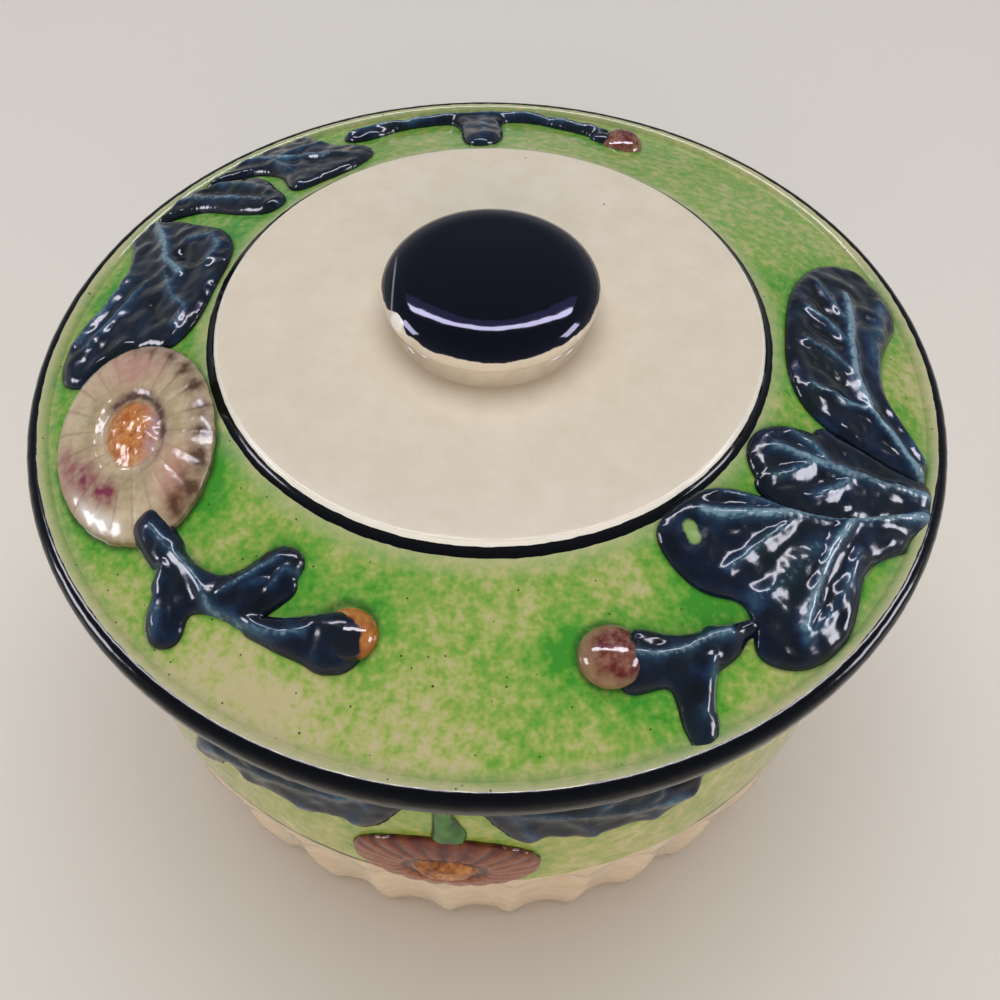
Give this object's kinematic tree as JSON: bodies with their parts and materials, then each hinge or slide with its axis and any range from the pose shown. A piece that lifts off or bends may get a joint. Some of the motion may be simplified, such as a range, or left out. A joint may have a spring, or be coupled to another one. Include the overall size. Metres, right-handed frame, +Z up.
{
  "type": "lidded ceramic canister",
  "caption": "Low round glazed ceramic canister: bulged jar with a fluted cream foot, overhanging knobbed lid that lifts off, mottled green glaze and floral relief.",
  "frame": {"origin": "on the table, under the middle of the jar", "axes": "+Z up along the axis of the jar and lid, +X to the right seen from the front, front is -Y"},
  "size_m": [0.14, 0.14, 0.0997],
  "materials": {
    "jar_glaze": "glossy mottled green glaze above, cream glaze on the flutes",
    "lid_glaze": "glossy mottled green band, cream disc, black line and bead",
    "knob_glaze": "glossy black cap on a cream neck",
    "navy_glaze": "thick glossy navy glaze, thin and teal on the ridges",
    "bud_glaze": "glossy red-brown glaze",
    "flower_glaze": "glossy cream and pink-brown petals, orange eye",
    "daisy_glaze": "glossy red-brown petals, orange eye",
    "stalk_glaze": "glossy green glaze"
  },
  "bodies": {
    "jar": {"jar_body": "jar_glaze", "jar_front_daisy": "daisy_glaze", "jar_front_stalk": "stalk_glaze", "jar_front_left_leaf": "navy_glaze", "jar_front_right_leaf": "navy_glaze", "jar_rear_daisy": "daisy_glaze", "jar_rear_stalk": "stalk_glaze", "jar_rear_left_leaf": "navy_glaze", "jar_rear_right_leaf": "navy_glaze"},
    "lid": {"lid": "lid_glaze", "knob": "knob_glaze", "lid_right_long_leaf": "navy_glaze", "lid_right_middle_leaf": "navy_glaze", "lid_right_lobed_leaf": "navy_glaze", "lid_right_twig": "navy_glaze", "lid_right_bud": "bud_glaze", "lid_flower": "flower_glaze", "lid_left_long_leaf": "navy_glaze", "lid_left_middle_leaf": "navy_glaze", "lid_left_lobed_leaf": "navy_glaze", "lid_front_twig": "navy_glaze", "lid_front_bud": "bud_glaze", "lid_rear_twig": "navy_glaze", "lid_rear_bud": "bud_glaze"}
  },
  "joints": [
    {"name": "lid_lift", "type": "slide", "parent": "jar", "child": "lid", "axis": [0, 0, 1], "range_m": [0, 0.09]}
  ]
}
